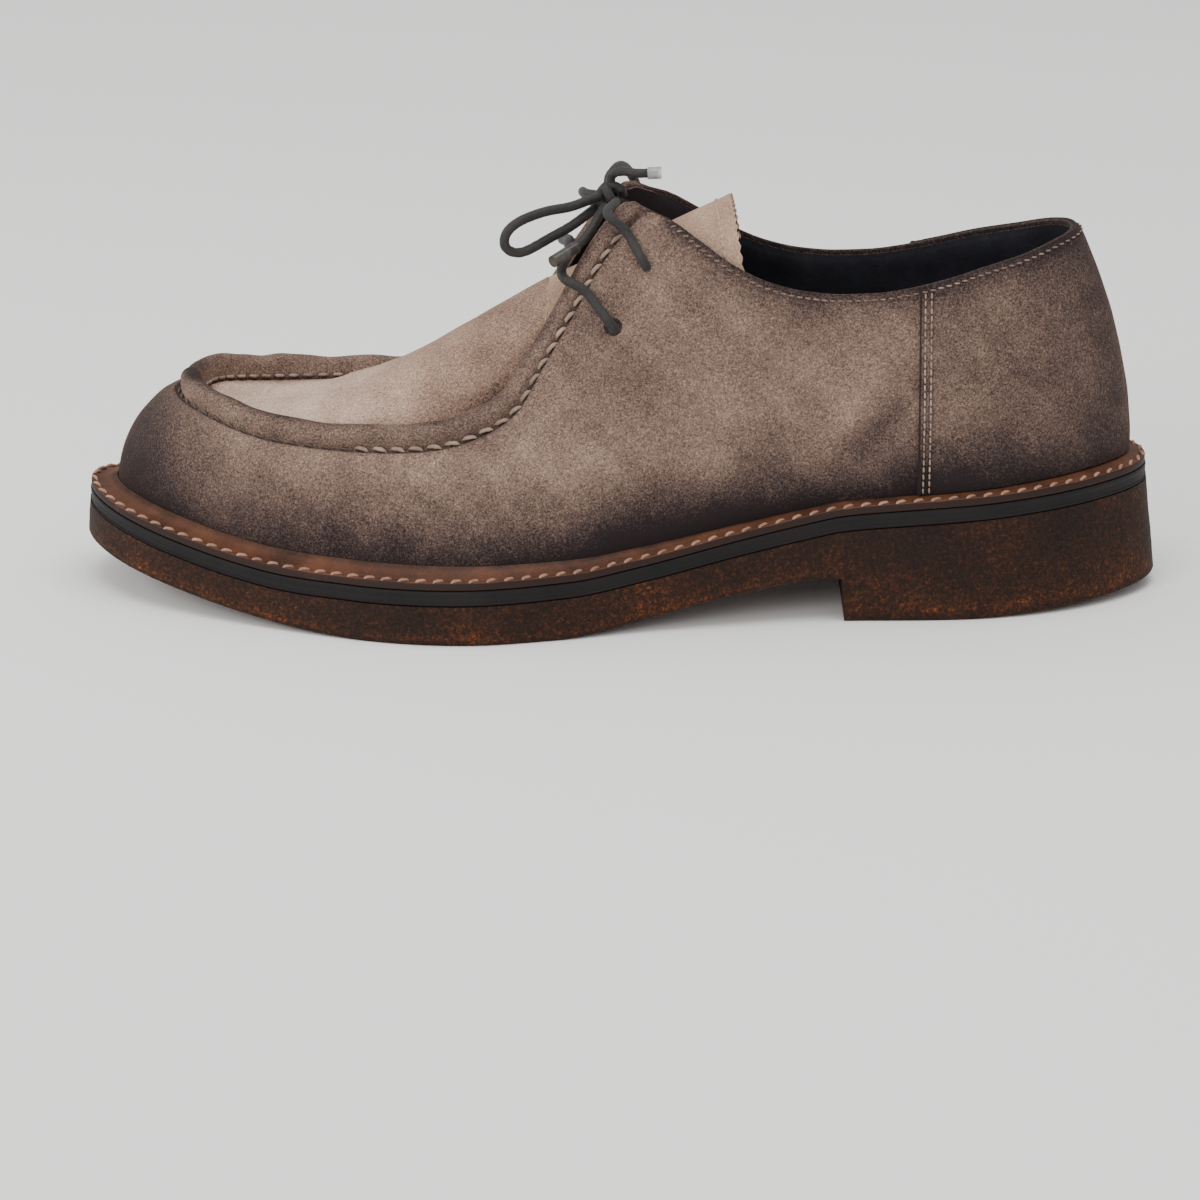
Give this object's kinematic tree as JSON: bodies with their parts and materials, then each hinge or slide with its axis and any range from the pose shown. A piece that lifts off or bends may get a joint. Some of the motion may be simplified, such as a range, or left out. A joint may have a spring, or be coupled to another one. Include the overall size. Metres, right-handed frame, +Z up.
{
  "type": "moccasin-toe derby shoe",
  "caption": "Low lace-up shoe for the left foot with a rolled seam round its toe panel, a hollow suede upper, a stitched welt and a thick sole with a low heel block.",
  "frame": {"origin": "on the floor under the middle of the shoe's box", "axes": "-X to the toe, +X to the heel, -Y to the outer side of the foot, +Z up"},
  "size_m": [0.305, 0.1094, 0.122],
  "materials": {
    "sole_rubber": "matt brown rubber with fine orange flecks",
    "sole_edge": "dark edge, slightly polished",
    "welt_leather": "tan leather strip, worn satin",
    "lining_leather": "smooth black leather with fine wrinkles",
    "suede": "taupe suede with a short nap, burnished dark at the edges",
    "suede_raw": "lighter suede with a pinked edge",
    "lace": "round woven waxed cord",
    "aglet_dark": "smoky clear plastic tip",
    "aglet_clear": "clear plastic tip"
  },
  "bodies": {
    "root": {"outsole": "sole_rubber", "midsole": "sole_edge", "welt": "welt_leather", "insole": "lining_leather", "upper": "suede", "counter": "suede", "tongue": "suede_raw", "lace_lower_bar": "lace", "lace_near_run": "lace", "lace_far_run": "lace", "lace_knot": "lace", "lace_near_loop": "lace", "lace_far_loop": "lace", "lace_near_end": "lace", "lace_far_end": "lace", "near_aglet": "aglet_dark", "far_aglet": "aglet_clear"}
  },
  "joints": []
}
